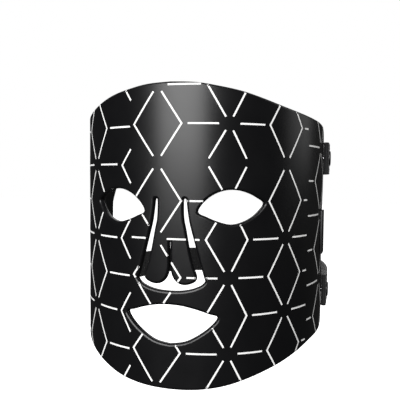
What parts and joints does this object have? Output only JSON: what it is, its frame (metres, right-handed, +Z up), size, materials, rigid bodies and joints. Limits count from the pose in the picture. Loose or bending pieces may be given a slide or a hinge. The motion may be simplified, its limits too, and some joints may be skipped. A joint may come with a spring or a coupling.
{
  "type": "led face mask",
  "caption": "Flexible light-therapy face mask with eye, mouth and nose openings, a hinged two-lobe nose flap, LED boards inside, and two swinging head straps.",
  "frame": {"origin": "skin side of the mask at the bridge of the nose, level with the eyes", "axes": "+X to the wearer's left, +Y towards the back of the head, +Z up; the mask faces -Y"},
  "size_m": [0.1968, 0.2421, 0.2025],
  "materials": {
    "black_silicone": "satin black silicone rubber with white printed line pattern",
    "clear_silicone": "frosted clear silicone",
    "flex_circuit": "white solder mask over flexible circuit",
    "black_webbing": "woven elastic",
    "hook_and_loop": "hook-and-loop pile",
    "black_plastic": "moulded plastic",
    "white_print": "printed white silicone ink",
    "snap_steel": "nickel-plated snap fastener"
  },
  "bodies": {
    "mask": {"chin_led_board": "flex_circuit", "forehead_led_board": "flex_circuit", "front_cover": "black_silicone", "inlet_board": "flex_circuit", "inlet_housing": "black_plastic", "inlet_lid": "black_plastic", "inlet_socket": "snap_steel", "inlet_tongue": "black_plastic", "left_cheek_led_board": "flex_circuit", "left_chin_flex_tail": "flex_circuit", "left_temple_flex_tail": "flex_circuit", "lower_left_stud": "snap_steel", "lower_right_stud": "snap_steel", "right_cheek_led_board": "flex_circuit", "right_chin_flex_tail": "flex_circuit", "right_temple_flex_tail": "flex_circuit", "skin_liner": "clear_silicone", "upper_left_stud": "snap_steel", "upper_right_stud": "snap_steel"},
    "nose_flap": {"nose_flap_cover": "black_silicone", "nose_flap_led_board": "flex_circuit", "nose_flap_liner": "clear_silicone"},
    "left_lobe": {"left_lobe_cover": "black_silicone", "left_lobe_led_board": "flex_circuit", "left_lobe_liner": "clear_silicone"},
    "right_lobe": {"right_lobe_cover": "black_silicone", "right_lobe_led_board": "flex_circuit", "right_lobe_liner": "clear_silicone"},
    "upper_strap": {"upper_strap_hook_patch": "hook_and_loop", "upper_strap_left_band": "black_webbing", "upper_strap_left_socket": "snap_steel", "upper_strap_loop_patch": "hook_and_loop", "upper_strap_right_band": "black_webbing", "upper_strap_right_socket": "snap_steel"},
    "lower_strap": {"lower_strap_hook_patch": "hook_and_loop", "lower_strap_left_band": "black_webbing", "lower_strap_left_socket": "snap_steel", "lower_strap_loop_patch": "hook_and_loop", "lower_strap_right_band": "black_webbing", "lower_strap_right_socket": "snap_steel"},
    "upper_keeper": {"upper_strap_keeper": "black_plastic"},
    "lower_keeper": {"lower_strap_keeper": "black_plastic"}
  },
  "joints": [
    {"name": "nose_flap_hinge", "type": "hinge", "parent": "mask", "child": "nose_flap", "pos_m": [0, -0.005, 0.0034], "axis": [-1, 0, 0], "range_deg": [0, 30]},
    {"name": "left_lobe_hinge", "type": "hinge", "parent": "nose_flap", "child": "left_lobe", "pos_m": [0, -0.005, -0.024], "axis": [-1, 0, 0], "range_deg": [0, 20]},
    {"name": "right_lobe_hinge", "type": "hinge", "parent": "nose_flap", "child": "right_lobe", "pos_m": [0, -0.005, -0.024], "axis": [-1, 0, 0], "range_deg": [0, 20]},
    {"name": "upper_strap_swing", "type": "hinge", "parent": "mask", "child": "upper_strap", "pos_m": [0, 0.10803, 0.0345], "axis": [1, 0, 0], "range_deg": [-12, 20]},
    {"name": "lower_strap_swing", "type": "hinge", "parent": "mask", "child": "lower_strap", "pos_m": [0, 0.10803, -0.071], "axis": [1, 0, 0], "range_deg": [-20, 12]},
    {"name": "upper_keeper_slide", "type": "slide", "parent": "upper_strap", "child": "upper_keeper", "axis": [1, 0, 0], "range_m": [-0.018, 0.018]},
    {"name": "lower_keeper_slide", "type": "slide", "parent": "lower_strap", "child": "lower_keeper", "axis": [1, 0, 0], "range_m": [-0.018, 0.018]}
  ]
}
